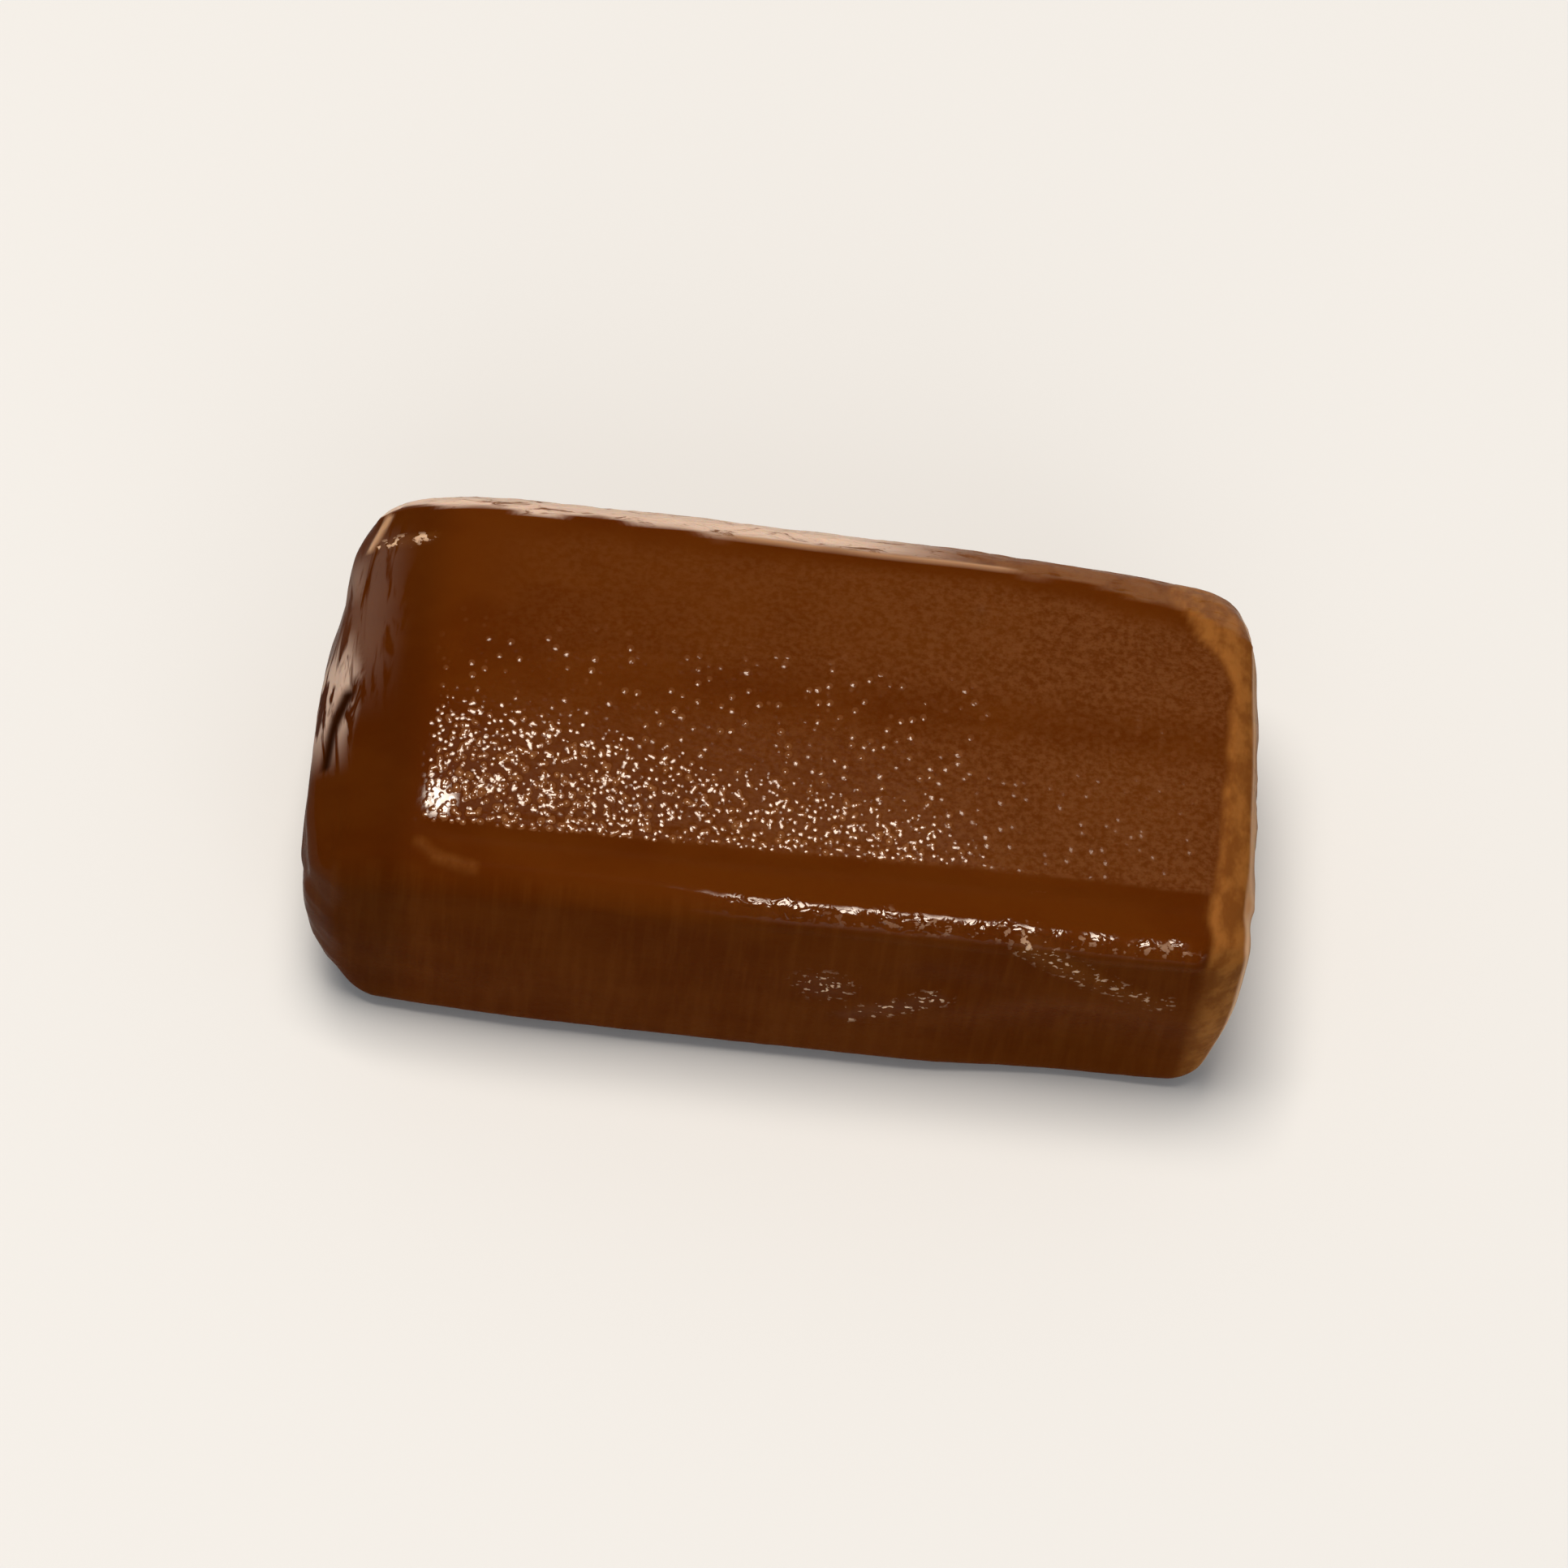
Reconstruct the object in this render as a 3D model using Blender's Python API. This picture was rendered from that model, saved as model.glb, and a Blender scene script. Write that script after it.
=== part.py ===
"""A soft caramel candy: a chewy bar cut from a rope, lying on its flat underside.

X runs along the bar, +Y is its back and +Z is up. The origin is at the middle of the underside.
A block is cut into cells and its vertices are then moved, step by step, into the bar's form.
"""

import math

import bmesh
import bpy
from mathutils import Vector, noise

MM = 0.001

# The bar's outside sizes
LENGTH = 36.0 * MM
WIDTH = 16.6 * MM
HEIGHT = 13.4 * MM

# How far the rounding of each edge reaches: along the bar at its two ends, across it, and up it
LEFT_END_ROUND = 2.4 * MM
RIGHT_END_ROUND = 1.7 * MM
SIDE_ROUND = 1.0 * MM
UPRIGHT_ROUND = 1.4 * MM

# The top: a level back half, a faint crease, and a front half that slopes down to a flute
CREASE_Y = 0.6 * MM
FRONT_DROP_LEFT = 1.40 * MM
FRONT_DROP_RIGHT = 0.85 * MM
BACK_DROP = 0.25 * MM
END_DROP = 0.45 * MM
END_DROP_POWER = 4
CREASE_DEPTH = 0.10 * MM
CREASE_HALF = 0.9 * MM
SLOPE_REACH = 0.85
TOP_FROM = 0.45
TOP_BLEND = 0.45

# The flute along the front top edge, which starts short of the left end: the top steps down
# at its border, and from there a level shelf runs to the front edge
BORDER_Y = -5.85 * MM
STEP_DEPTH = 0.30 * MM
STEP_WIDTH = 0.75 * MM
SHELF_RISE = 0.115 / MM
FLUTE_START_X = -13.6 * MM
FLUTE_END_X = 16.4 * MM
FLUTE_FADE = 1.0 * MM

# The left shoulder, where the top begins to fall to the left end
SHOULDER_X = -13.4 * MM
SHOULDER_SLOPE = 0.13

# The bevel along the back top edge, which widens towards the right end
BEVEL_WIDTH_LEFT = 0.7 * MM
BEVEL_WIDTH_RIGHT = 1.9 * MM
BEVEL_SLOPE = 0.75

# The plan: sides that bow out in the middle, a back that is shorter than the front, and
# corners that are cut off in a curve. What shapes the ends dies away along the bar by END_POWER
SIDE_BOW = 0.055
SIDE_BOW_POWER = 3
BACK_SHORTER_LEFT = 0.062
BACK_SHORTER_RIGHT = 0.042
CORNER_CUT = 0.8 * MM
FRONT_RIGHT_CUT = 0.25 * MM
CORNER_FROM = 5.0 * MM
CORNER_REACH = 4.0 * MM
END_POWER = 6
FRONT_BULGE = 0.35 * MM
BACK_BULGE = 0.20 * MM
BULGE_POWER = 3

# The left end's underside is rounder than the right's
LEFT_UNDERCUT = 2.6 * MM
LEFT_UNDERCUT_HEIGHT = 7.0 * MM
RIGHT_UNDERCUT = 0.8 * MM
RIGHT_UNDERCUT_HEIGHT = 8.0 * MM

# The crumpled cut ends: folds this deep and this far apart, on the outermost stretch of the bar
FOLD_DEPTH = 0.80 * MM
FOLD_SPACING = 4.0 * MM
FOLD_LEVEL = 0.5
FOLD_CREASE = 1.6
FOLD_SOFTNESS = 0.2
FOLD_WARP = 0.35
WARP_FINER = 1.7
LEFT_FOLDS = 7.3
RIGHT_FOLDS = 11.3
END_STRETCH = 1.8 * MM

# The thin lip round the right end's rim, and the hollow inside it
RIM_LIP = 0.30 * MM
RIM_FROM = 0.55
RIM_BLEND = 0.3
RIM_HOLLOW = 0.6

# Dents, in millimetres: the middle, the reach along each axis, the depth, and the push's direction
DENTS = (
    ((11.5, -8.8, 3.9), (7.5, 4.5, 4.6), 0.70, (0.0, 1.0, 0.2)),
    ((7.0, -8.6, 8.2), (3.2, 3.0, 2.2), 0.28, (0.0, 1.0, -0.2)),
    ((-11.0, 8.4, 6.0), (5.0, 5.0, 5.0), 0.45, (0.0, -1.0, 0.0)),
    ((5.0, 8.6, 8.0), (5.0, 4.0, 3.0), 0.35, (0.0, -1.0, 0.0)),
    ((-14.5, 2.5, 13.2), (2.6, 4.2, 3.2), 0.25, (0.2, 0.0, -1.0)),
    ((15.0, 4.6, 12.9), (2.6, 3.8, 3.4), 0.28, (-0.2, 0.0, -1.0)),
)

# Slow unevenness of the whole skin, which fades out below this height
WAVE_DEPTH = 0.14 * MM
WAVE_SPACING = 7.0 * MM
WAVE_FADE = 4.0 * MM
WAVE_SEEDS = (5.0, 17.0, 31.0)

# Cells of the mesh
EDGE_CELLS = 4
CELL = 0.98 * MM
FLUTE_CELL = 0.33 * MM
FLUTE_CELLS_BACK = 0.4 * MM
TINY = 1e-7

# The finish
CARAMEL_BROWN = (0.135, 0.042, 0.010, 1.0)
ROUGHNESS = 0.35
TRANSLUCENCY = 0.3


def smoothstep(t):
    """0 below 0, 1 above 1, and a smooth rise between."""
    t = min(max(t, 0.0), 1.0)
    return t * t * (3.0 - 2.0 * t)


def hill(t):
    """1 at 0, and a smooth fall to 0 at -1 and 1."""
    return (1.0 - t * t) ** 2 if abs(t) < 1.0 else 0.0


def even_places(start, end, cell):
    """Places from start to end, both included, about one cell apart."""
    count = max(1, round((end - start) / cell))
    return [start + (end - start) * i / count for i in range(count + 1)]


def edge_places(half, reach, side):
    """Places in one rounded edge, spaced so that the rounding turns by equal angles."""
    turns = [math.radians(45.0) * i / EDGE_CELLS for i in range(1, EDGE_CELLS)]
    return [side * (half - reach + reach * math.tan(turn)) for turn in turns]


def cut_block():
    """A block of the bar's outside size, cut into cells that are finer in its edges and flute."""
    mesh = bmesh.new()
    bmesh.ops.create_cube(mesh, size=1.0)
    bmesh.ops.scale(mesh, vec=(LENGTH, WIDTH, HEIGHT), verts=mesh.verts)
    half = Vector((LENGTH, WIDTH, HEIGHT)) / 2
    flute_back = BORDER_Y + FLUTE_CELLS_BACK
    places = {
        "X": even_places(-half.x + LEFT_END_ROUND, half.x - RIGHT_END_ROUND, CELL)
        + edge_places(half.x, LEFT_END_ROUND, -1)
        + edge_places(half.x, RIGHT_END_ROUND, 1),
        "Y": even_places(-half.y + SIDE_ROUND, flute_back, FLUTE_CELL)
        + even_places(flute_back, half.y - SIDE_ROUND, CELL)[1:]
        + edge_places(half.y, SIDE_ROUND, -1)
        + edge_places(half.y, SIDE_ROUND, 1),
        "Z": even_places(-half.z + UPRIGHT_ROUND, half.z - UPRIGHT_ROUND, CELL)
        + edge_places(half.z, UPRIGHT_ROUND, -1)
        + edge_places(half.z, UPRIGHT_ROUND, 1),
    }
    normals = {"X": Vector((1, 0, 0)), "Y": Vector((0, 1, 0)), "Z": Vector((0, 0, 1))}
    for axis, cuts in places.items():
        for place in cuts:
            bmesh.ops.bisect_plane(
                mesh,
                geom=mesh.verts[:] + mesh.edges[:] + mesh.faces[:],
                dist=TINY,
                plane_co=normals[axis] * place,
                plane_no=normals[axis],
            )
    return mesh


def round_edges(p):
    """Moves a point of the block onto a box with rounded edges."""
    end_round = LEFT_END_ROUND if p.x < 0 else RIGHT_END_ROUND
    reach = Vector((end_round, SIDE_ROUND, UPRIGHT_ROUND))
    half = Vector((LENGTH, WIDTH, HEIGHT)) / 2
    core = Vector([min(max(c, r - h), h - r) for c, r, h in zip(p, reach, half)])
    out = Vector([(c - k) / r for c, k, r in zip(p, core, reach)])
    out.normalize()
    return core + Vector([o * r for o, r in zip(out, reach)])


def shape_top(p):
    """Lowers the top: its slopes to the front and left, crease, flute and back bevel."""
    half_width = WIDTH / 2
    share = p.x / LENGTH + 0.5
    front_drop = FRONT_DROP_LEFT + share * (FRONT_DROP_RIGHT - FRONT_DROP_LEFT)
    drop = front_drop * smoothstep(SLOPE_REACH * (CREASE_Y - p.y) / (CREASE_Y + half_width))
    drop += BACK_DROP * max(0.0, (p.y - CREASE_Y) / (half_width - CREASE_Y)) ** 2
    drop += END_DROP * abs(2 * p.x / LENGTH) ** END_DROP_POWER
    drop += CREASE_DEPTH * hill((p.y - CREASE_Y) / CREASE_HALF)
    in_flute = smoothstep((p.x - FLUTE_START_X) / FLUTE_FADE)
    in_flute *= smoothstep((FLUTE_END_X - p.x) / FLUTE_FADE)
    past_border = max(0.0, BORDER_Y - p.y)
    shelf = STEP_DEPTH * smoothstep(past_border / STEP_WIDTH)
    shelf -= SHELF_RISE * front_drop * past_border
    drop += in_flute * shelf
    drop += SHOULDER_SLOPE * max(0.0, SHOULDER_X - p.x)
    bevel = BEVEL_WIDTH_LEFT + share * (BEVEL_WIDTH_RIGHT - BEVEL_WIDTH_LEFT)
    drop += BEVEL_SLOPE * max(0.0, p.y - (half_width - bevel))
    near_top = smoothstep((p.z / HEIGHT - TOP_FROM) / TOP_BLEND)
    return Vector((p.x, p.y, p.z - near_top * drop))


def shape_plan(p):
    """Bows the long sides out in the middle, shortens the back and cuts off the corners."""
    along = 2 * p.x / LENGTH
    up = 2 * p.z / HEIGHT - 1
    bulge = -FRONT_BULGE if p.y < 0 else BACK_BULGE
    side = abs(2 * p.y / WIDTH) ** BULGE_POWER
    y = p.y * (1 - SIDE_BOW * abs(along) ** SIDE_BOW_POWER) + side * bulge * (1 - up * up)
    shorter = BACK_SHORTER_LEFT if p.x < 0 else BACK_SHORTER_RIGHT
    inward = abs(p.x) * shorter * (p.y / WIDTH + 0.5)
    corner = smoothstep((abs(p.y) - CORNER_FROM) / CORNER_REACH)
    cut = FRONT_RIGHT_CUT if p.x > 0 and p.y < 0 else CORNER_CUT
    inward += cut * corner * abs(along) ** END_POWER
    return Vector((p.x - math.copysign(inward, p.x), y, p.z))


def undercut_ends(p):
    """Rounds each end off towards the underside."""
    reach, height = (
        (LEFT_UNDERCUT, LEFT_UNDERCUT_HEIGHT)
        if p.x < 0
        else (RIGHT_UNDERCUT, RIGHT_UNDERCUT_HEIGHT)
    )
    low = max(0.0, 1 - p.z / height)
    inward = reach * low * low * abs(2 * p.x / LENGTH) ** END_POWER
    return Vector((p.x - math.copysign(inward, p.x), p.y, p.z))


def fold_height(p, seed):
    """How far a cut end stands out at a point: a few broad folds with creases between them."""
    spot = Vector((seed, p.y / FOLD_SPACING, p.z / FOLD_SPACING))
    finer = spot * WARP_FINER
    warp = Vector((0.0, noise.noise(finer), noise.noise(finer + spot.yzx)))
    rise = math.hypot(noise.noise(spot + FOLD_WARP * warp), FOLD_SOFTNESS)
    return FOLD_LEVEL - FOLD_CREASE * rise


def crumple_ends(p):
    """Folds the two cut ends, the right one only within the smooth thin lip of its rim."""
    from_end = LENGTH / 2 - abs(p.x)
    at_end = smoothstep(1.0 - from_end / END_STRETCH)
    out = FOLD_DEPTH * fold_height(p, LEFT_FOLDS if p.x < 0 else RIGHT_FOLDS)
    if p.x > 0:
        from_middle = max(abs(2 * p.y / WIDTH), abs(2 * p.z / HEIGHT - 1))
        rim = smoothstep((from_middle - RIM_FROM) / RIM_BLEND)
        out = out * (1 - rim) + RIM_LIP * (rim - RIM_HOLLOW)
    out *= at_end
    return Vector((p.x + math.copysign(out, p.x), p.y, p.z))


def press_dents(p):
    """Pushes the skin in where the bar has lain against others."""
    moved = p.copy()
    for middle, reach, depth, way in DENTS:
        away = p - MM * Vector(middle)
        share = Vector([a / (MM * r) for a, r in zip(away, reach)]).length
        moved += MM * depth * hill(share) * Vector(way).normalized()
    return moved


def wave_skin(p):
    """Slow unevenness, which dies away at the underside so that this stays flat."""
    spot = p / WAVE_SPACING
    shift = Vector([noise.noise(spot + Vector((seed, 0, 0))) for seed in WAVE_SEEDS])
    return p + WAVE_DEPTH * smoothstep(p.z / WAVE_FADE) * shift


def make_caramel():
    """The whole bar as one closed mesh, with its underside flat at height 0."""
    mesh = cut_block()
    for vertex in mesh.verts:
        p = round_edges(vertex.co)
        p.z += HEIGHT / 2
        on_base = p.z < TINY
        for step in (shape_top, shape_plan, undercut_ends, crumple_ends, press_dents, wave_skin):
            p = step(p)
        if on_base:
            p.z = 0.0
        vertex.co = p
    low = Vector([min(v.co[i] for v in mesh.verts) for i in range(3)])
    high = Vector([max(v.co[i] for v in mesh.verts) for i in range(3)])
    middle = (low + high) / 2
    bmesh.ops.translate(mesh, vec=(-middle.x, -middle.y, -low.z), verts=mesh.verts)
    bmesh.ops.recalc_face_normals(mesh, faces=mesh.faces)
    data = bpy.data.meshes.new("caramel")
    mesh.to_mesh(data)
    mesh.free()
    return bpy.data.objects.new("caramel", data)


def caramel_material():
    """Cooked sugar and cream: dark amber brown with a soft gloss."""
    material = bpy.data.materials.new("caramel")
    material.use_nodes = True
    surface = material.node_tree.nodes["Principled BSDF"]
    surface.inputs["Base Color"].default_value = CARAMEL_BROWN
    surface.inputs["Roughness"].default_value = ROUGHNESS
    surface.inputs["Metallic"].default_value = 0.0
    surface.inputs["Subsurface Weight"].default_value = TRANSLUCENCY
    return material


def main():
    for old in list(bpy.data.objects):
        bpy.data.objects.remove(old)
    collection = bpy.data.collections.new("caramel candy")
    bpy.context.scene.collection.children.link(collection)
    caramel = make_caramel()
    collection.objects.link(caramel)
    caramel.data.materials.append(caramel_material())
    caramel.data.shade_smooth()


main()
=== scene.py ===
import math

import bmesh
import bpy
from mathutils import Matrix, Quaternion, Vector, noise


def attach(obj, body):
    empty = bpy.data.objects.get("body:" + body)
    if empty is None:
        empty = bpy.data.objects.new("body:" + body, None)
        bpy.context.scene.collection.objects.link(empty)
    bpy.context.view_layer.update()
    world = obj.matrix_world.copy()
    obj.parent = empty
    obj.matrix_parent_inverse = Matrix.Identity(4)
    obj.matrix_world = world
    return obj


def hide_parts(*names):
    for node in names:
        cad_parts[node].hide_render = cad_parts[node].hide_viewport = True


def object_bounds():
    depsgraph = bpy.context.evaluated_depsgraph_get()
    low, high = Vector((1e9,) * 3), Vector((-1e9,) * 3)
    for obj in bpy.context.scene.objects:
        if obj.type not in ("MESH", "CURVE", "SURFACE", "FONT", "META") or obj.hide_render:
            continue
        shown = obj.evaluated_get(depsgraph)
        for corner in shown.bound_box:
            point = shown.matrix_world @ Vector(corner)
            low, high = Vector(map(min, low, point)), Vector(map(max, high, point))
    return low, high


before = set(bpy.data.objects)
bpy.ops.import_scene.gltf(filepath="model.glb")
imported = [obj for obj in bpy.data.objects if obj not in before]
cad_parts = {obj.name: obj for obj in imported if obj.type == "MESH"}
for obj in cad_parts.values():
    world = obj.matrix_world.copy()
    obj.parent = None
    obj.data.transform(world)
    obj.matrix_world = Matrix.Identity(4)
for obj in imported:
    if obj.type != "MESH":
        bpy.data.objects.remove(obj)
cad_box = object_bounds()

# The looks of a soft caramel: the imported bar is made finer, given its skin, folds and wrinkles,
# and finished with a grained, translucent brown. Blender's own lengths are in metres. The bar's
# places, its relief and its grain are in millimetres, from the middle of its underside.

MM = 0.001
MM_PER_METRE = 1000.0

# The mesh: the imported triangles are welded, paired into quads and subdivided
WELD_DISTANCE = 1e-6
PAIR_ANGLE = math.radians(60.0)
SUBDIVISIONS = 2

# The main lines of the bar
PANEL_LEFT = -13.5
PANEL_RIGHT = 16.25
BAND_BACK_CORNER = 2.5
BAND_FRONT_CORNER = 0.3
BORDER_Y = -5.95
FLUTE_RIGHT = 16.3
CREST_Y = -8.05
CREST_START = -3.0
STRIP_Y = 6.88
STRIP_Z = 11.3
LEFT_EDGE = -16.2
FOOT_Z = 0.5
HALF_WIDTH = 8.3
HALF_HEIGHT = 6.7

# Its small marks, each a path or a middle and its reach: x and y on the top, x and z on the
# front, and y and z on the left end
LIP = ((-13.4, -6.8), (-12.7, -7.3), (-11.4, -7.6))
LIP_REACH = 0.42
FOLD = ((9.6, 11.7), (12.4, 9.6), (14.8, 8.3))
FOLD_REACH = 0.9
FOLD_FADE = 0.6
SCUFF = (2.2, 7.2)
SCUFF_REACH = 1.5
SCRATCH = ((3.3, 4.9), (6.4, 6.9))
SCRATCH_REACH = 0.8
PLEATS = ((-16.3, 5.4), (-14.3, 5.7))
PLEATS_REACH = 0.3
CREASE = ((-3.8, 11.4), (-0.9, 12.2))
CREASE_REACH = 0.3
CORNER = ((-16.5, 5.4), (-16.0, 6.8))
CORNER_REACH = 0.22
PIT = (6.5, 4.6)
PIT_REACH = 0.6
BRIGHT_SPOT = (-13.0, -5.15)
BRIGHT_REACH = (0.9, 0.8)

# Heights and depths of the relief
SKIN_WAVES = 0.012
SKIN_GRAIN = 0.004
BORDER_HEIGHT = 0.03
CREST_HEIGHT = 0.24
CREST_RISE = 0.10
CREST_WAVES = 0.05
LIP_HEIGHT = 0.05
BAND_HEIGHT = 0.10
BAND_GROOVE = 0.05
PIT_DEPTH = 0.08
STRIP_LIP_HEIGHT = 0.06
STRIP_DEPTH = 0.07
TEAR_HEIGHT = 0.05
LEFT_FOLDS = 0.11
LEFT_WRINKLES = 0.03
LEFT_DEPTH = 0.05
RIGHT_FOLDS = 0.13
RIGHT_WRINKLES = 0.05
RIGHT_DEPTH = 0.12
CREASE_DEPTH = 0.12
CORNER_HEIGHT = 0.08
FOLD_HEIGHT = 0.06
FOLD_WAVES = 0.03
ROUGH_WAVES = 0.04
UPRIGHT_WAVES = 0.008
PLEAT_HEIGHT = 0.07
PLEAT_WAVES = 0.05

# How strong the looks of single places are, from 0 to 1
# The pale of the cuts, partly painted sheen
PALE_LOW = 0.15
PALE_SHOULDER = 0.12
PALE_RIGHT_END = 0.22
# Painted shade along the left rounding
ROUNDING_SHADE = 0.3
TORN_FADE = 0.95
# Partly a painted glow of light through thin places
AMBER_LIP = 0.3
AMBER_PLEATS = 0.3
AMBER_FOLD = 0.2
AMBER_STRIP = 0.5
# Painted highlights on thin edges
STRIP_LIP_HIGHLIGHT = 0.6
CORNER_FOLD_HIGHLIGHT = 0.7
# Painted glints, as pale flecks on the fold and the crest
FOLD_GLINTS = 0.8
CREST_GLINTS = 0.3
FRONT_STREAKS = 0.38
GLOSS_PANEL = 0.008
GLOSS_SCUFFS = 0.05
GLOSS_PIT = 0.5
GLOSS_LEFT_END = 0.06
GLOSS_RIGHT_END = 0.12
GLOSS_STRIP = 0.1
GLOSS_BACK = 0.08
GLOSS_FRONT = 0.004

# A share below this counts as none
NEGLIGIBLE = 0.01


def smoothstep(start, end, value):
    """0 at start, 1 at end, and a smooth way between."""
    t = min(max((value - start) / (end - start), 0.0), 1.0)
    return t * t * (3.0 - 2.0 * t)


def hill(distance):
    """1 at 0, and a smooth fall to 0 at -1 and 1."""
    return (1.0 - distance * distance) ** 2 if abs(distance) < 1.0 else 0.0


def wander(x, y, z):
    """Smooth noise of about -1 to 1."""
    return 1.5 * noise.noise(Vector((x, y, z)))


def crumple(x, y, z):
    """Folds with narrow crests and broad hollows: about 1 on a crest and -0.5 in a hollow."""
    bend = 0.35 * wander(0.7 * x + 9.1, 0.7 * y, 0.7 * z)
    return 1.0 - 2.6 * abs(noise.noise(Vector((x + bend, y - bend, z + bend))))


def near_line(x, y, start, end, reach):
    """1 on the line from start to end, falling to 0 at the reach."""
    a, b, p = Vector(start), Vector(end), Vector((x, y))
    along = (p - a).dot(b - a) / (b - a).length_squared
    nearest = a + (b - a) * min(max(along, 0.0), 1.0)
    return hill((p - nearest).length / reach)


def near_path(x, y, path, reach, fade=1.0):
    """1 on a path's first line, falling to 0 at the reach. The fade weakens each further line."""
    lines = zip(path, path[1:])
    return max(fade ** i * near_line(x, y, a, b, reach) for i, (a, b) in enumerate(lines))


def band_start(p):
    """Where the lighter band at the right end begins, a wavy line across the top."""
    corners = BAND_BACK_CORNER * smoothstep(2.8, 7.2, p.y)
    corners += BAND_FRONT_CORNER * hill((p.y + 6.2) / 1.2)
    return PANEL_RIGHT + 0.14 * wander(3.0, p.y / 1.1, 0.0) - corners


def strip_start(p):
    """Where the torn strip along the back begins, a wavy line along the top."""
    right = 0.7 * smoothstep(6.0, 13.0, p.x) + 1.0 * smoothstep(13.0, 17.0, p.x)
    left = 0.08 * smoothstep(-4.0, -8.0, p.x)
    return STRIP_Y + 0.16 * wander(p.x / 2.3, 7.0, 0.0) - right + left


def border_y(p):
    """Where the panel ends at the front, a nearly straight line along the top."""
    return BORDER_Y + 0.012 * p.x + 0.05 * wander(p.x / 1.7, 2.0, 0.0)


def on_top(n):
    """1 where the skin faces up, 0 on the sides."""
    return smoothstep(0.45, 0.8, n.z)


def on_front(n):
    """1 on the front, 0 on the other sides."""
    return smoothstep(0.4, 0.8, -n.y)


def on_panel(p, n):
    """1 on the panel, the flat middle of the top, and 0 on what surrounds it."""
    inside = smoothstep(PANEL_LEFT - 0.15, PANEL_LEFT + 0.35, p.x)
    inside *= smoothstep(0.0, 0.22, p.y - border_y(p))
    inside *= smoothstep(0.2, -0.2, p.x - band_start(p))
    inside *= smoothstep(0.3, 1.3, strip_start(p) - p.y)
    return inside * on_top(n)


def along_crest(p):
    """1 from the middle to the right end of the flute, and a slow fade to 0 at its left."""
    along = smoothstep(CREST_START - 1.5, CREST_START + 4.0, p.x)
    return along * smoothstep(FLUTE_RIGHT, FLUTE_RIGHT - 0.5, p.x)


def on_crest(p, n):
    """1 on the wrinkled crest in front of the flute where it faces up, 0 on the rest."""
    back = CREST_Y + 0.5 + 0.2 * wander(p.x / 0.9, 5.0, 0.0)
    inside = smoothstep(back, back - 0.2, p.y) * smoothstep(0.45, 0.75, n.z)
    return along_crest(p) * inside


def band_top(p):
    """How far back the dense droplets of the panel's front reach: less towards the right."""
    return -2.3 - 0.125 * (p.x - PANEL_LEFT)


def left_end(p):
    """1 on the folded left end, 0 on the rest."""
    edge = LEFT_EDGE + 0.3 * wander(1.0, p.y / 2.2, p.z / 2.2)
    return smoothstep(edge + 0.2, edge - 0.5, p.x)


def rim_distance(p):
    """0 in the middle of an end, about 1 at its outline."""
    return max(abs(p.y) / HALF_WIDTH, abs(p.z / HALF_HEIGHT - 1.0))


def right_end(p, n):
    """1 on the right end's cut face within its rim, 0 on the rest."""
    ragged = 0.14 * wander(2.0, p.y / 2.0, p.z / 2.0)
    return smoothstep(0.75, 0.9, n.x) * smoothstep(0.85, 0.5, rim_distance(p) + ragged)


def right_band(p, n):
    """1 on the lighter band beside the right end, and on the end itself."""
    start = band_start(p) if n.z > 0.3 else PANEL_RIGHT - 0.3
    return smoothstep(start - 0.12, start + (0.22 if n.z > 0.3 else 1.0), p.x)


def right_rim(p, n):
    """1 on the thin edge round the right end."""
    return hill((n.x - 0.87) / 0.17) * smoothstep(0.62, 0.76, rim_distance(p))


def back_strip(p):
    """1 on the torn strip along the back top edge."""
    low = STRIP_Z + 0.5 * wander(p.x / 1.9, 0.0, 4.0)
    return smoothstep(0.0, 0.22, p.y - strip_start(p)) * smoothstep(low - 0.4, low + 0.4, p.z)


def flute_lip(p, n):
    """1 on the little curved lip where the flute ends at the left."""
    return near_path(p.x, p.y, LIP, LIP_REACH) * on_top(n)


def front_rough(p, n):
    """1 on the two scuffed patches of the front."""
    if n.y > -0.5:
        return 0.0
    scuff_and_glints = hill(math.hypot(p.x - SCUFF[0], p.z - SCUFF[1]) / SCUFF_REACH)
    return max(scuff_and_glints, near_path(p.x, p.z, SCRATCH, SCRATCH_REACH))


def front_fold(p, n):
    """1 on the pressed fold of the front, which runs down to the right from the top edge."""
    if n.y > -0.3:
        return 0.0
    return near_path(p.x, p.z, FOLD, FOLD_REACH, FOLD_FADE)


def left_pleats(p, n):
    """1 on the small pleats at the back left corner."""
    if n.z < 0.4:
        return 0.0
    return near_path(p.x, p.y, PLEATS, PLEATS_REACH)


def left_crease(p):
    """1 in the narrow crease at the top of the left end."""
    if p.x > -15.5 or p.z < 9.0:
        return 0.0
    return near_path(p.y, p.z, CREASE, CREASE_REACH)


def corner_fold(p):
    """1 on the thin edge of a fold that comes round the back left corner."""
    if p.x > -14.5 or p.z < 10.0:
        return 0.0
    return near_path(p.x, p.y, CORNER, CORNER_REACH)


def back_pit(p, n):
    """1 in the small pit in the back half of the panel."""
    return hill(math.hypot(p.x - PIT[0], 0.8 * (p.y - PIT[1])) / PIT_REACH) * on_top(n)


def skin(p, n):
    """The slight unevenness of all faces."""
    return SKIN_WAVES * wander(*(p / 2.4)) + SKIN_GRAIN * wander(*(p / 0.9))


def flute_edges(p, n):
    """The panel's rounded border, the crest in front of the flute and the lip at its left."""
    out = BORDER_HEIGHT * hill((p.y - border_y(p) - 0.3) / 0.5) * on_panel(p, n)
    crest = along_crest(p) * hill((p.y - CREST_Y) / 0.8) * smoothstep(0.05, 0.55, n.z)
    height = CREST_HEIGHT + CREST_RISE * smoothstep(9.0, 14.0, p.x)
    out += crest * (height + CREST_WAVES * wander(p.x / 0.9, p.y / 1.2, 0.0))
    return out + LIP_HEIGHT * flute_lip(p, n)


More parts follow.
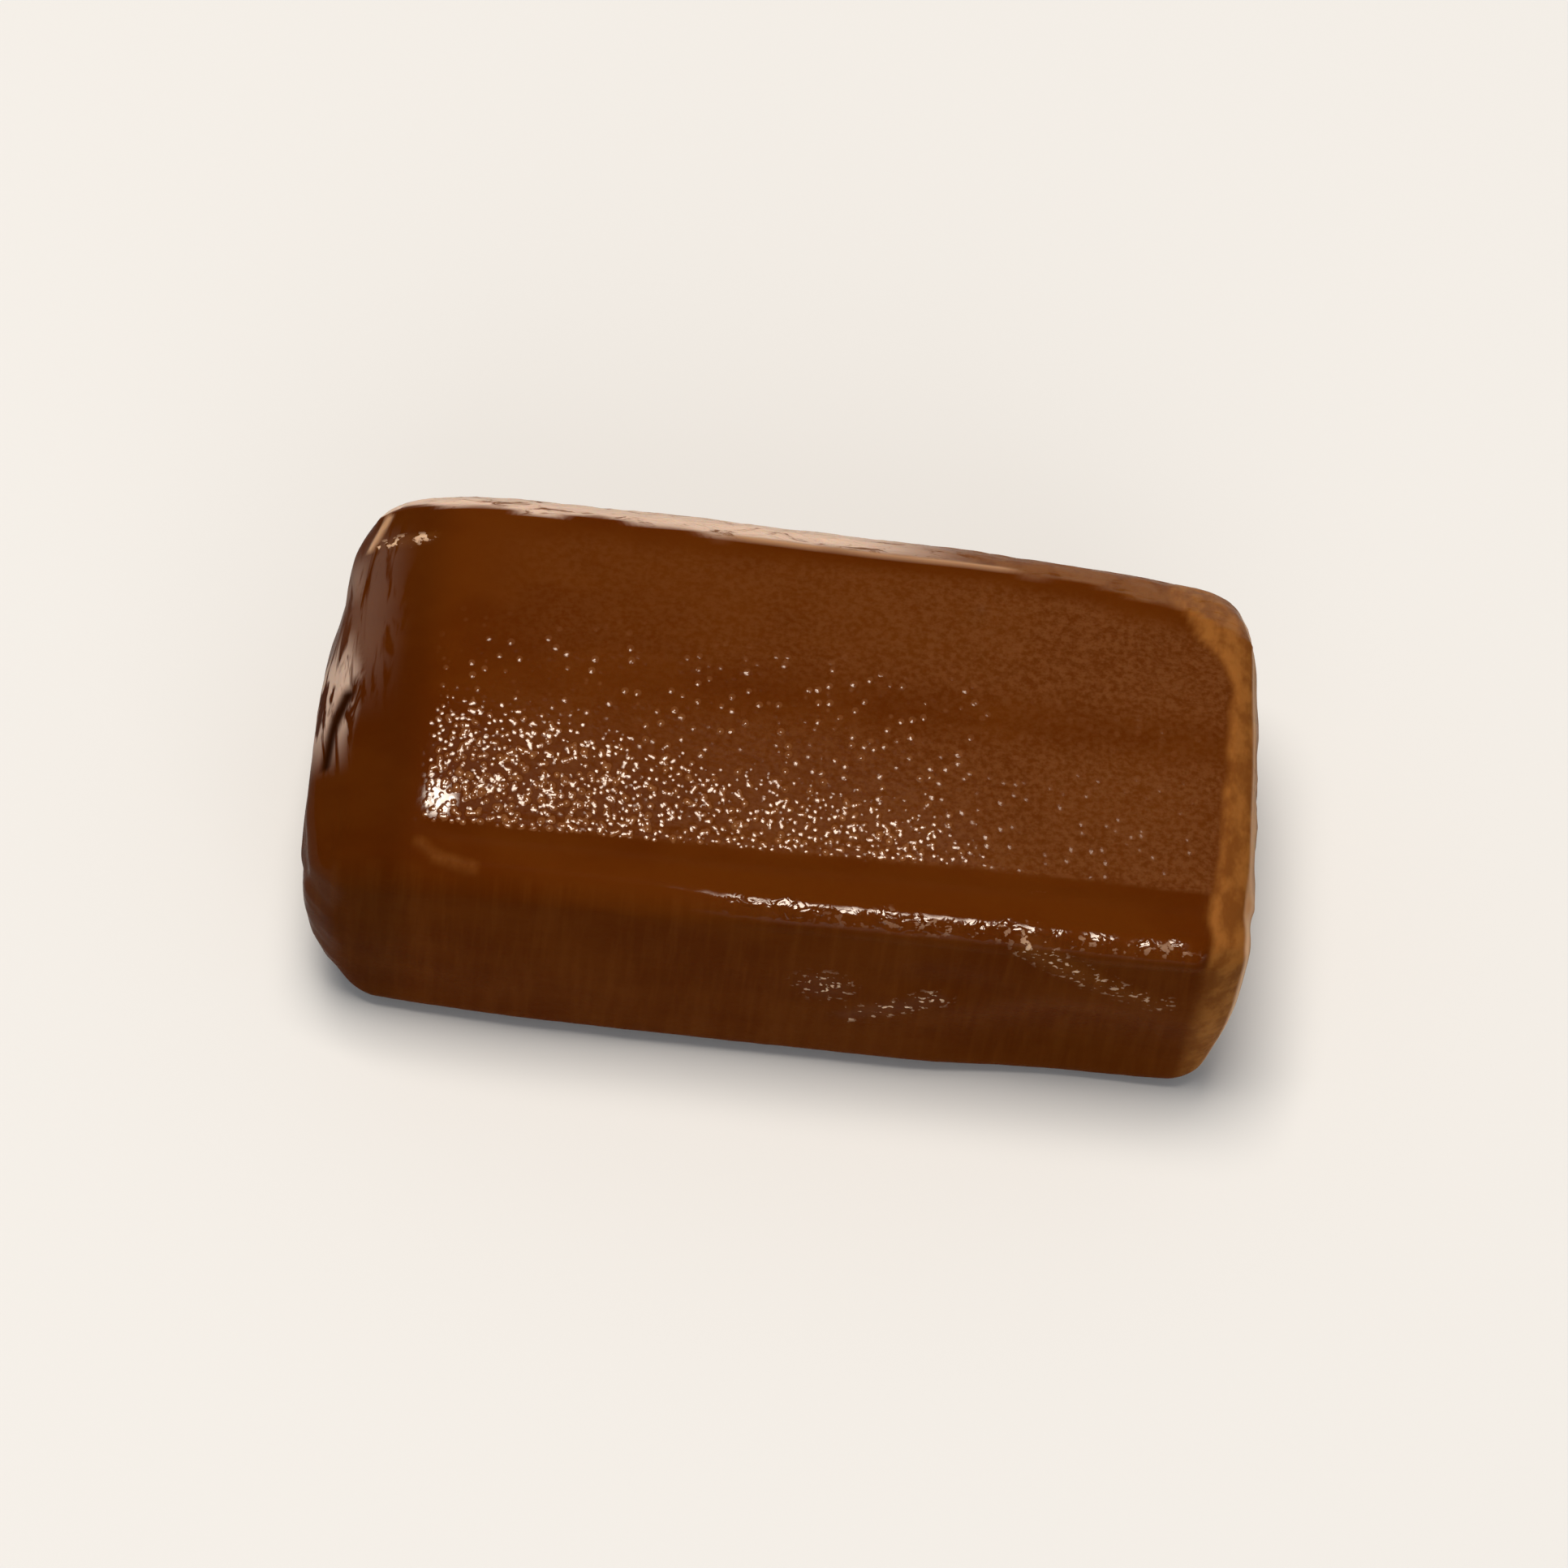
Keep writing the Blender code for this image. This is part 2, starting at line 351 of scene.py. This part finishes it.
def panel_border(p, n):
    """The step up from the panel to the band at the right, and the pit in the panel."""
    step = BAND_HEIGHT * smoothstep(-0.1, 0.35, p.x - band_start(p))
    groove = BAND_GROOVE * hill((p.x - band_start(p) + 0.25) / 0.5)
    return on_top(n) * (step - groove) - PIT_DEPTH * back_pit(p, n)


def strip_tears(p, n):
    """The torn strip: small ragged folds drawn out along the bar, below a thin lip."""
    inside = back_strip(p)
    lip = STRIP_LIP_HEIGHT * hill((p.y - strip_start(p)) / 0.28) * smoothstep(0.3, 0.6, n.z)
    if inside < NEGLIGIBLE:
        return lip
    tears = crumple(p.x / 2.4, p.y / 0.8, p.z / 0.8)
    tears += 0.5 * crumple(p.x / 0.9, p.y / 0.4 + 3.0, p.z / 0.4)
    return lip + inside * (TEAR_HEIGHT * tears - STRIP_DEPTH)


def left_folds(p, n):
    """Soft folds across the left end, parallel to its edge, its crease and its corner's fold."""
    inside = left_end(p)
    if inside < NEGLIGIBLE:
        return 0.0
    around = p.x + p.z
    folds = LEFT_FOLDS * crumple(around / 2.8, p.y / 7.5, 1.0)
    folds += LEFT_WRINKLES * crumple(around / 1.3, p.y / 4.0, 4.0)
    marks = CREASE_DEPTH * left_crease(p)
    return inside * (folds - LEFT_DEPTH) - marks + CORNER_HEIGHT * corner_fold(p)


def right_folds(p, n):
    """The right cut: drawn-out wrinkles within its rim."""
    inside = right_end(p, n)
    if inside < NEGLIGIBLE:
        return 0.0
    folds = RIGHT_FOLDS * crumple(5.0, p.y / 2.2, p.z / 5.5)
    folds += RIGHT_WRINKLES * crumple(1.0, p.y / 0.9, p.z / 2.6 + 8.0)
    return inside * (folds - RIGHT_DEPTH)


def front_marks(p, n):
    """The front's pressed fold, scuffs and faint upright waves, and the left corner's pleats."""
    fold = FOLD_HEIGHT + FOLD_WAVES * wander(p.x / 0.7, 0.0, p.z / 0.7)
    out = front_fold(p, n) * fold
    out += ROUGH_WAVES * front_rough(p, n) * wander(p.x / 0.6, 2.0, p.z / 0.6)
    out += UPRIGHT_WAVES * on_front(n) * wander(p.x / 0.6, 0.0, p.z / 7.0)
    pleats = PLEAT_HEIGHT + PLEAT_WAVES * wander(p.x / 0.35, p.y / 0.5, 1.0)
    return out + left_pleats(p, n) * pleats


RELIEFS = (
    skin,
    flute_edges,
    panel_border,
    strip_tears,
    left_folds,
    right_folds,
    front_marks,
)


def pale_and_sheen_share(p, n):
    """How much of the pale look of a cut there is, partly the cut's own paler skin and partly
    painted sheen. The left end has a few patches.
    """
    patch = max(1.3 * hill((p.y + 0.9) / 3.4), 0.3 * hill((p.y - 4.0) / 1.8))
    patch = min(1.0, patch) * smoothstep(8.0, 10.5, p.z)
    low = PALE_LOW * smoothstep(10.0, 8.0, p.z) * smoothstep(-6.5, -3.5, p.y)
    left = left_end(p) * max(patch, low)
    shoulder = smoothstep(-14.6, -16.4, p.x) * smoothstep(-2.5, 1.0, p.y) * smoothstep(6.6, 5.0, p.y)
    left = max(left, PALE_SHOULDER * shoulder * on_top(n))
    return max(left * (1.0 - left_crease(p)), PALE_RIGHT_END * right_end(p, n))


def painted_shade_share(p, n):
    """How much painted shade there is: in the left end's crease and along the left rounding."""
    rounding = smoothstep(PANEL_LEFT + 0.6, PANEL_LEFT - 1.2, p.x)
    return max(left_crease(p), ROUNDING_SHADE * rounding)


def torn_and_sheen_share(p, n):
    """How much of the back's pale torn strip there is, its pale partly rough skin and partly painted
    sheen: little of it at the right.
    """
    return back_strip(p) * (1.0 - TORN_FADE * smoothstep(1.0, 7.0, p.x))


def amber_and_glow_share(p, n):
    """How amber a place is, partly its own colour and partly a painted glow of light through thin
    places: the band at the right, thin edges and the strip's right half.
    """
    thin = AMBER_LIP * flute_lip(p, n)
    thin += AMBER_PLEATS * left_pleats(p, n) + AMBER_FOLD * front_fold(p, n)
    thin += AMBER_STRIP * back_strip(p) * smoothstep(1.0, 7.0, p.x)
    return min(1.0, right_band(p, n) + thin)


def rim_highlight_share(p, n):
    """How much of a pale thin edge there is, a painted highlight: round the right end, along the
    torn strip and on the back left corner's fold.
    """
    lip = hill((p.y - strip_start(p)) / 0.17) * on_top(n)
    lip *= smoothstep(-5.0, -2.0, p.x) * smoothstep(9.5, 7.0, p.x)
    rim = right_rim(p, n) * (0.7 + 0.3 * smoothstep(-5.5, -7.0, p.y))
    return max(rim, STRIP_LIP_HIGHLIGHT * lip, CORNER_FOLD_HIGHLIGHT * corner_fold(p))


def painted_glint_share(p, n):
    """How thick the tiny pale flecks of painted glints lie on the scuffed places, the pleats, the
    fold and the crest.
    """
    crest = CREST_GLINTS * on_crest(p, n) * smoothstep(-1.0, 8.0, p.x)
    return max(front_rough(p, n), left_pleats(p, n), FOLD_GLINTS * front_fold(p, n), crest)


def front_share(p, n):
    """How much of the front's faint upright streaks there is."""
    return FRONT_STREAKS * on_front(n)


def painted_sheen_share(p, n):
    """How much painted sheen lies on the panel, standing in for the haze its fine grain reflects:
    more so towards the right, and less along its middle.
    """
    along = smoothstep(PANEL_LEFT, PANEL_LEFT + 5.0, p.x) * (0.4 + 0.6 * smoothstep(-9.0, 13.0, p.x))
    return on_panel(p, n) * along * (1.0 - 0.6 * hill((p.y - 0.3) / 1.6))


def gloss_share(p, n):
    """How much of the even glossy film there is, apart from the droplets and the crest."""
    corner = bright_corner(p) * on_panel(p, n)
    panel = GLOSS_PANEL * sparkle_share(p, n)
    scuffs = GLOSS_SCUFFS * front_rough(p, n)
    marks = max(scuffs, left_pleats(p, n), GLOSS_PIT * back_pit(p, n))
    ends = max(GLOSS_LEFT_END * left_end(p), GLOSS_RIGHT_END * right_end(p, n))
    cut = max(ends, GLOSS_STRIP * back_strip(p))
    sides = GLOSS_BACK * smoothstep(0.2, 0.8, n.y) + GLOSS_FRONT * smoothstep(0.2, 0.8, -n.y)
    return max(panel, corner, marks, cut, sides)


def bright_corner(p):
    """1 where the panel's front left corner is smooth and shines most."""
    across = (p.x - BRIGHT_SPOT[0]) / BRIGHT_REACH[0]
    return smoothstep(1.0, 0.5, math.hypot(across, (p.y - BRIGHT_SPOT[1]) / BRIGHT_REACH[1]))


def band_share(p, n):
    """How thick the dense droplets lie: in a band along the panel's front, most at the left."""
    dense = smoothstep(2.4, -0.8, p.y - band_top(p)) * smoothstep(9.5, 4.0, p.x)
    return on_panel(p, n) * dense * (1.0 + 0.9 * smoothstep(-3.0, -10.0, p.x))


def sparkle_share(p, n):
    """How strongly the larger, looser droplets of the panel stand out and shine."""
    sparse = smoothstep(3.4, 0.4, p.y) * (0.7 - 0.5 * smoothstep(4.0, 9.0, p.x))
    dense = smoothstep(3.2, -0.6, p.y - band_top(p)) * smoothstep(10.0, 5.0, p.x)
    return on_panel(p, n) * max(dense, sparse) * (1.0 - 0.8 * bright_corner(p))


ATTRIBUTES = {
    "pale": pale_and_sheen_share,
    "torn": torn_and_sheen_share,
    "amber": amber_and_glow_share,
    "rim": rim_highlight_share,
    "painted_sheen": painted_sheen_share,
    "gloss": gloss_share,
    "sparkle": sparkle_share,
    "band": band_share,
    "crest": on_crest,
    "painted_shade": painted_shade_share,
    "scuff_and_glints": painted_glint_share,
    "front": front_share,
}


def finer_copy(node):
    """A copy of a CAD node's mesh as smooth quads."""
    mesh = bmesh.new()
    mesh.from_mesh(node.data)
    bmesh.ops.remove_doubles(mesh, verts=mesh.verts, dist=WELD_DISTANCE)
    bmesh.ops.join_triangles(
        mesh,
        faces=mesh.faces,
        angle_face_threshold=PAIR_ANGLE,
        angle_shape_threshold=PAIR_ANGLE,
    )
    data = bpy.data.meshes.new("caramel_skin")
    mesh.to_mesh(data)
    mesh.free()
    data.materials.clear()
    piece = bpy.data.objects.new("caramel_skin", data)
    bpy.context.scene.collection.objects.link(piece)
    modifier = piece.modifiers.new("finer", "SUBSURF")
    modifier.levels = SUBDIVISIONS
    modifier.render_levels = SUBDIVISIONS
    apply_modifiers(piece)
    return piece


def apply_modifiers(piece):
    """Turns a piece's modifiers into mesh."""
    depsgraph = bpy.context.evaluated_depsgraph_get()
    data = bpy.data.meshes.new_from_object(piece.evaluated_get(depsgraph))
    piece.modifiers.clear()
    piece.data = data


def add_attribute(data, name, values):
    """Stores one number for each vertex, for the material to read."""
    attribute = data.attributes.new(name, "FLOAT", "POINT")
    attribute.data.foreach_set("value", values)


def make_caramel():
    """The bar with its relief, kept within the CAD's box, and the shares its material reads."""
    piece = finer_copy(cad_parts["caramel"])
    data = piece.data
    spots = [(v.co / MM, v.normal.copy()) for v in data.vertices]
    low, high = cad_box
    for vertex, (p, n) in zip(data.vertices, spots):
        out = sum(part(p, n) for part in RELIEFS) * smoothstep(0.0, FOOT_Z, p.z)
        moved = vertex.co + n * out * MM
        vertex.co = [min(max(m, a), b) for m, a, b in zip(moved, low, high)]
    for name, share in ATTRIBUTES.items():
        add_attribute(data, name, [share(p, n) for p, n in spots])
    data.shade_smooth()
    return piece


# The panel's droplets: the spacing of their cells and their reach in millimetres, the share of
# the cells that holds one, and how much their heights differ
FINE_DROPLETS = (0.25, 0.155, 1.0, 0.5)
DROPLETS = (0.33, 0.21, 1.0, 0.7)
LOOSE_DROPLETS = (0.45, 0.20, 0.75, 0.5)

# How deep the material's bumps are, in millimetres
GRAIN_DEPTH = 0.010
FINE_DROPLET_DEPTH = 0.014
DROPLET_DEPTH = 0.030
LOOSE_DROPLET_DEPTH = 0.060
DRAWN_DEPTH = 0.02
CREST_DEPTH = 0.14
STREAK_DEPTH = 0.10
TEAR_DEPTH = 0.14

# The material's colours, and how much of two of them covers what lies below
# Painted shade, for the left end's crease and the left rounding
SHADE_BROWN = (0.016, 0.0040, 0.0006, 1)
DEEP_BROWN = (0.079, 0.0162, 0.0010, 1)
WARM_BROWN = (0.094, 0.0220, 0.0018, 1)
STREAK_BROWN = (0.125, 0.0360, 0.0050, 1)
# Painted sheen of the panel, standing in for the haze its fine grain reflects
SHEEN_BROWN = (0.134, 0.0460, 0.0125, 1)
# Amber: partly the bar's own colour, partly a painted glow of light through thin places
AMBER_GLOW = (0.245, 0.097, 0.021, 1)
# Painted highlight on thin edges
RIM_HIGHLIGHT = (0.60, 0.38, 0.23, 1)
# Painted glints, as pale flecks
GLINT_PALE = (0.70, 0.50, 0.35, 1)
# Amber painted round the droplets, standing in for the warm tone of their glints
DROPLET_GLINT_AMBER = (0.42, 0.19, 0.070, 1)
CUT_DARK = (0.058, 0.013, 0.003, 1)
# Pale of the cuts, partly their own paler skin and partly painted sheen
CUT_PALE_SHEEN = (0.680, 0.530, 0.450, 1)
TORN_DARK = (0.170, 0.080, 0.042, 1)
# Pale of the torn strip, partly its rough skin and partly painted sheen
TORN_PALE_SHEEN = (0.640, 0.500, 0.420, 1)
DROPLET_GLINT_COVER = 0.22
CUT_COVER = 0.9

# The film on the droplets, and how much rougher the dry cuts are than the skin
DROPLET_FILM = 0.9
DRY_ROUGHNESS = 0.15
SKIN_ROUGHNESS = (0.24, 0.34)

# The same all over the bar: the body has hardly any gloss of its own, and the coat is the film
SHADER_VALUES = {
    "Coat Roughness": 0.13,
    "Coat IOR": 1.6,
    "IOR": 1.02,
    "Subsurface Weight": 0.3,
    "Subsurface Radius": (1.0, 0.35, 0.12),
    "Subsurface Scale": 1.2 * MM,
}


class Nodes:
    """Short calls for building a material's nodes."""

    def __init__(self, material):
        self.tree = material.node_tree

    def add(self, kind, **settings):
        node = self.tree.nodes.new(kind)
        for name, value in settings.items():
            setattr(node, name, value)
        return node

    def link(self, source, target):
        self.tree.links.new(source, target)

    def feed(self, socket, value):
        """Links a socket to another's output, or sets it to a number."""
        if isinstance(value, bpy.types.NodeSocket):
            self.link(value, socket)
        else:
            socket.default_value = value

    def attribute(self, name):
        return self.add("ShaderNodeAttribute", attribute_name=name).outputs["Fac"]

    def places(self, stretch):
        """The place on the bar in millimetres, divided by the stretch along each axis."""
        where = self.add("ShaderNodeTexCoord").outputs["Object"]
        scaled = self.add("ShaderNodeVectorMath", operation="MULTIPLY")
        scaled.inputs[1].default_value = [MM_PER_METRE / s for s in stretch]
        self.link(where, scaled.inputs[0])
        return scaled.outputs[0]

    def round_left_end(self, across, along):
        """Coordinates that run round the left end's edge and along it, divided by a stretch."""
        where = self.add("ShaderNodeTexCoord").outputs["Object"]
        round_edge = (MM_PER_METRE / across, 0.0, MM_PER_METRE / across)
        along_edge = (0.0, MM_PER_METRE / along, 0.0)
        joined = self.add("ShaderNodeCombineXYZ")
        for axis, socket in zip((round_edge, along_edge), joined.inputs):
            dot = self.add("ShaderNodeVectorMath", operation="DOT_PRODUCT")
            dot.inputs[1].default_value = axis
            self.link(where, dot.inputs[0])
            self.link(dot.outputs["Value"], socket)
        return joined.outputs[0]

    def noise(self, where, detail=2.0, roughness=0.5, warp=0.0):
        node = self.add("ShaderNodeTexNoise")
        node.inputs["Scale"].default_value = 1.0
        node.inputs["Detail"].default_value = detail
        node.inputs["Roughness"].default_value = roughness
        node.inputs["Distortion"].default_value = warp
        self.link(where, node.inputs["Vector"])
        return node.outputs["Fac"]

    def droplets(self, spacing, reach, share, soft):
        """Small round bumps at random places: this share of the cells holds one.

        The softer the share's limit is, the more their heights differ.
        """
        node = self.add("ShaderNodeTexVoronoi")
        node.inputs["Scale"].default_value = 1.0
        self.link(self.places((spacing, spacing, spacing)), node.inputs["Vector"])
        split = self.add("ShaderNodeSeparateColor")
        self.link(node.outputs["Color"], split.inputs[0])
        there = self.spread(split.outputs[0], 1.0 - share, 1.0 - share + soft)
        bump = self.spread(node.outputs["Distance"], 0.0, reach / spacing, 1.0, 0.0)
        return self.times(there, bump)

    def spread(self, value, low, high, to_low=0.0, to_high=1.0):
        """Maps low..high to to_low..to_high, and holds it there outside."""
        node = self.add("ShaderNodeMapRange", interpolation_type="SMOOTHSTEP")
        for name, number in zip(
            ("From Min", "From Max", "To Min", "To Max"), (low, high, to_low, to_high)
        ):
            node.inputs[name].default_value = number
        self.link(value, node.inputs["Value"])
        return node.outputs["Result"]

    def combine(self, operation, a, b):
        node = self.add("ShaderNodeMath", operation=operation)
        self.feed(node.inputs[0], a)
        self.feed(node.inputs[1], b)
        return node.outputs[0]

    def times(self, a, b):
        return self.combine("MULTIPLY", a, b)

    def plus(self, a, b):
        return self.combine("ADD", a, b)

    def mix(self, share, first, second):
        """Mixes two colours, which a Mix node takes at its inputs 6 and 7 and gives at output 2."""
        node = self.add("ShaderNodeMix", data_type="RGBA")
        self.feed(node.inputs[0], share)
        self.feed(node.inputs[6], first)
        self.feed(node.inputs[7], second)
        return node.outputs[2]

    def bump(self, height, strength, depth_mm, below=None):
        node = self.add("ShaderNodeBump")
        node.inputs["Distance"].default_value = depth_mm * MM
        self.feed(node.inputs["Strength"], strength)
        self.link(height, node.inputs["Height"])
        if below is not None:
            self.link(below, node.inputs["Normal"])
        return node.outputs["Normal"]


def caramel_droplets(nodes):
    """Where the panel's droplets are, loose ones at the back and dense ones at the front."""
    loose = nodes.spread(nodes.droplets(*LOOSE_DROPLETS), 0.05, 0.4)
    loose = nodes.times(loose, nodes.attribute("sparkle"))
    dense = nodes.plus(nodes.droplets(*DROPLETS), nodes.droplets(*FINE_DROPLETS))
    dense = nodes.spread(nodes.times(dense, nodes.attribute("band")), 0.25, 0.6)
    return nodes.plus(loose, dense)


def caramel_colour(nodes, droplets):
    """Deep brown, painted sheen on the panel, amber partly as painted glow where thin, streaked and
    pale where cut, partly painted sheen, and painted shade, highlights and glints.
    """
    clouds = nodes.spread(nodes.noise(nodes.places((6.0, 3.0, 3.0)), 3.0), 0.35, 0.65)
    colour = nodes.mix(clouds, DEEP_BROWN, WARM_BROWN)
    mottle = nodes.spread(nodes.noise(nodes.places((0.24, 0.2, 0.2)), 2.0, 0.6), 0.3, 0.7, 0.2)
    # Painted sheen on the panel, mottled
    colour = nodes.mix(nodes.times(nodes.attribute("painted_sheen"), mottle), colour, SHEEN_BROWN)
    # Amber painted round the droplets, standing in for the warm tone of their glints
    colour = nodes.mix(nodes.times(droplets, DROPLET_GLINT_COVER), colour, DROPLET_GLINT_AMBER)
    upright = nodes.spread(nodes.noise(nodes.places((0.5, 9.0, 7.0)), 3.0, 0.6), 0.40, 0.70)
    colour = nodes.mix(nodes.times(nodes.attribute("front"), upright), colour, STREAK_BROWN)
    # Amber, partly the bar's own colour and partly a painted glow of light through thin places
    patches = nodes.noise(nodes.places((0.7, 1.1, 1.1)), 3.0, 0.6)
    patches = nodes.spread(patches, 0.35, 0.65, 0.45)
    colour = nodes.mix(nodes.times(nodes.attribute("amber"), patches), colour, AMBER_GLOW)
    # Pale streaks on the cuts, partly their own paler skin and partly painted sheen
    streaks = nodes.noise(nodes.round_left_end(0.8, 3.5), 3.0, 0.6, 0.6)
    cut = nodes.mix(nodes.spread(streaks, 0.40, 0.52), CUT_DARK, CUT_PALE_SHEEN)
    colour = nodes.mix(nodes.times(nodes.attribute("pale"), CUT_COVER), colour, cut)
    # Painted shade in the left end's crease and along the left rounding
    colour = nodes.mix(nodes.attribute("painted_shade"), colour, SHADE_BROWN)
    # The pale torn strip, partly its rough skin and partly painted sheen
    scratches = nodes.noise(nodes.places((1.6, 0.35, 0.35)), 4.0, 0.7, 0.8)
    torn = nodes.mix(nodes.spread(scratches, 0.32, 0.48), TORN_DARK, TORN_PALE_SHEEN)
    colour = nodes.mix(nodes.attribute("torn"), colour, torn)
    # Painted highlights on the thin edges round the right end, along the torn strip and on the
    # corner's fold
    colour = nodes.mix(nodes.attribute("rim"), colour, RIM_HIGHLIGHT)
    # Tiny pale flecks, painted glints on the scuffed places, the pleats, the fold and the crest
    flecks = nodes.spread(nodes.noise(nodes.places((0.32, 0.28, 0.28)), 2.0), 0.58, 0.64)
    glint_flecks = nodes.times(flecks, nodes.attribute("scuff_and_glints"))
    return nodes.mix(glint_flecks, colour, GLINT_PALE)


def caramel_bumps(nodes):
    """The droplets and fine grain of the panel, and the wrinkles of crest, cuts and tears."""
    sparkle = nodes.attribute("sparkle")
    band = nodes.attribute("band")
    grain = nodes.noise(nodes.places((0.2, 0.2, 0.2)), 2.0, 0.55)
    normal = nodes.bump(grain, nodes.plus(nodes.times(sparkle, 0.7), 0.3), GRAIN_DEPTH)
    normal = nodes.bump(nodes.droplets(*FINE_DROPLETS), band, FINE_DROPLET_DEPTH, normal)
    normal = nodes.bump(nodes.droplets(*DROPLETS), sparkle, DROPLET_DEPTH, normal)
    normal = nodes.bump(nodes.droplets(*LOOSE_DROPLETS), sparkle, LOOSE_DROPLET_DEPTH, normal)
    drawn = nodes.noise(nodes.places((2.4, 0.35, 0.35)), 3.0, 0.6)
    normal = nodes.bump(drawn, 0.4, DRAWN_DEPTH, normal)
    chevrons = nodes.noise(nodes.places((0.55, 0.5, 0.5)), 1.5, 0.5, 1.0)
    normal = nodes.bump(chevrons, nodes.attribute("crest"), CREST_DEPTH, normal)
    streaks = nodes.noise(nodes.round_left_end(0.7, 3.5), 3.0, 0.5, 0.4)
    normal = nodes.bump(streaks, nodes.attribute("pale"), STREAK_DEPTH, normal)
    tears = nodes.noise(nodes.places((1.2, 0.3, 0.3)), 4.0, 0.65, 0.8)
    return nodes.bump(tears, nodes.attribute("torn"), TEAR_DEPTH, normal)


def caramel_film(nodes, droplets):
    """Where the glossy film lies: evenly in a few places, in spots on the crest, and on droplets."""
    spots = nodes.spread(nodes.noise(nodes.places((0.8, 0.5, 0.5)), 2.0), 0.27, 0.39)
    crest = nodes.times(nodes.attribute("crest"), spots)
    film = nodes.plus(nodes.attribute("gloss"), crest)
    return nodes.plus(film, nodes.times(droplets, DROPLET_FILM))


def caramel_roughness(nodes):
    """A faint speckle all over, and drier cuts and tears."""
    speckle = nodes.noise(nodes.places((0.55, 0.55, 0.55)))
    speckle = nodes.spread(speckle, 0.3, 0.7, *SKIN_ROUGHNESS)
    dry = nodes.plus(nodes.attribute("pale"), nodes.attribute("torn"))
    return nodes.plus(speckle, nodes.times(dry, DRY_ROUGHNESS))


def caramel_material():
    """Cooked sugar and cream: a soft translucent body under a thin film, glossy in places."""
    material = bpy.data.materials.new("caramel")
    material.use_nodes = True
    nodes = Nodes(material)
    shader = material.node_tree.nodes["Principled BSDF"]
    droplets = caramel_droplets(nodes)
    nodes.link(caramel_colour(nodes, droplets), shader.inputs["Base Color"])
    nodes.link(caramel_film(nodes, droplets), shader.inputs["Coat Weight"])
    normal = caramel_bumps(nodes)
    nodes.link(normal, shader.inputs["Normal"])
    nodes.link(normal, shader.inputs["Coat Normal"])
    nodes.link(caramel_roughness(nodes), shader.inputs["Roughness"])
    for name, value in SHADER_VALUES.items():
        shader.inputs[name].default_value = value
    return material


# The camera: it looks down on the bar from the front, turned a little about its own axis
CAMERA_ELEVATION = math.radians(63.0)
CAMERA_AZIMUTH = math.radians(-3.0)
CAMERA_ROLL = math.radians(8.8)
CAMERA_LENS_MM = 200.0
SENSOR_MM = 36.0
FRAME_WIDTH = 59.8 * MM
AIM_HEIGHT = 6.7 * MM
NEAREST = 0.01
FARTHEST = 10.0

# The floor: a square of pale, matt bluish white, which the warm lights turn neutral
FLOOR_HALF = 1.5
FLOOR_COLOUR = (0.745, 0.805, 0.87, 1)
FLOOR_ROUGHNESS = 0.9
FLOOR_SPECULAR = 0.1

# The lights: azimuth and elevation in degrees, distance and size in metres, watts, and colour
KEY_LIGHT = (-108.6, 83.2, 0.8, 0.3, 6.2, (1.0, 0.85, 0.70))
FILL_LIGHT = (12.0, 30.0, 0.9, 0.8, 1.6, (1.0, 0.94, 0.86))
ROOM_COLOUR = (1.0, 0.985, 0.97, 1)
ROOM_STRENGTH = 0.22


def direction(azimuth, elevation):
    """A unit vector from the bar towards a place in the room. Azimuth 0 is the front."""
    flat = math.cos(elevation)
    return Vector(
        (math.sin(azimuth) * flat, -math.cos(azimuth) * flat, math.sin(elevation))
    )


def add_camera():
    camera = bpy.data.objects.new("camera", bpy.data.cameras.new("camera"))
    bpy.context.scene.collection.objects.link(camera)
    camera.data.lens = CAMERA_LENS_MM
    camera.data.sensor_width = SENSOR_MM
    distance = FRAME_WIDTH * CAMERA_LENS_MM / SENSOR_MM
    back = direction(CAMERA_AZIMUTH, CAMERA_ELEVATION)
    camera.location = Vector((0.0, 0.0, AIM_HEIGHT)) + back * distance
    turn = (-back).to_track_quat("-Z", "Y") @ Quaternion((0, 0, 1), CAMERA_ROLL)
    camera.rotation_euler = turn.to_euler()
    camera.data.clip_start = NEAREST
    camera.data.clip_end = FARTHEST
    bpy.context.scene.camera = camera


def add_floor():
    mesh = bmesh.new()
    bmesh.ops.create_grid(mesh, x_segments=1, y_segments=1, size=FLOOR_HALF)
    data = bpy.data.meshes.new("floor")
    mesh.to_mesh(data)
    mesh.free()
    floor = bpy.data.objects.new("floor", data)
    bpy.context.scene.collection.objects.link(floor)
    material = bpy.data.materials.new("floor")
    material.use_nodes = True
    shader = material.node_tree.nodes["Principled BSDF"]
    shader.inputs["Base Color"].default_value = FLOOR_COLOUR
    shader.inputs["Roughness"].default_value = FLOOR_ROUGHNESS
    shader.inputs["Specular IOR Level"].default_value = FLOOR_SPECULAR
    data.materials.append(material)


def add_light(name, azimuth, elevation, distance, size, power, colour):
    """A square soft light that faces the bar."""
    data = bpy.data.lights.new(name, "AREA")
    data.shape = "SQUARE"
    data.size = size
    data.energy = power
    data.color = colour
    light = bpy.data.objects.new(name, data)
    bpy.context.scene.collection.objects.link(light)
    towards = direction(math.radians(azimuth), math.radians(elevation))
    light.location = towards * distance
    light.rotation_euler = (-towards).to_track_quat("-Z", "Y").to_euler()
    return light


def add_lights():
    """A key light above the bar, and a fill and a room that light it but stay out of its gloss."""
    add_light("key", *KEY_LIGHT)
    fill = add_light("fill", *FILL_LIGHT)
    fill.visible_glossy = False
    world = bpy.data.worlds.new("studio")
    world.cycles_visibility.glossy = False
    bpy.context.scene.world = world
    world.use_nodes = True
    background = world.node_tree.nodes["Background"]
    background.inputs["Color"].default_value = ROOM_COLOUR
    background.inputs["Strength"].default_value = ROOM_STRENGTH
    bpy.context.scene.view_settings.view_transform = "Standard"


caramel = make_caramel()
caramel.data.materials.append(caramel_material())
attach(caramel, "root")
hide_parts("caramel")

add_floor()
add_camera()
add_lights()
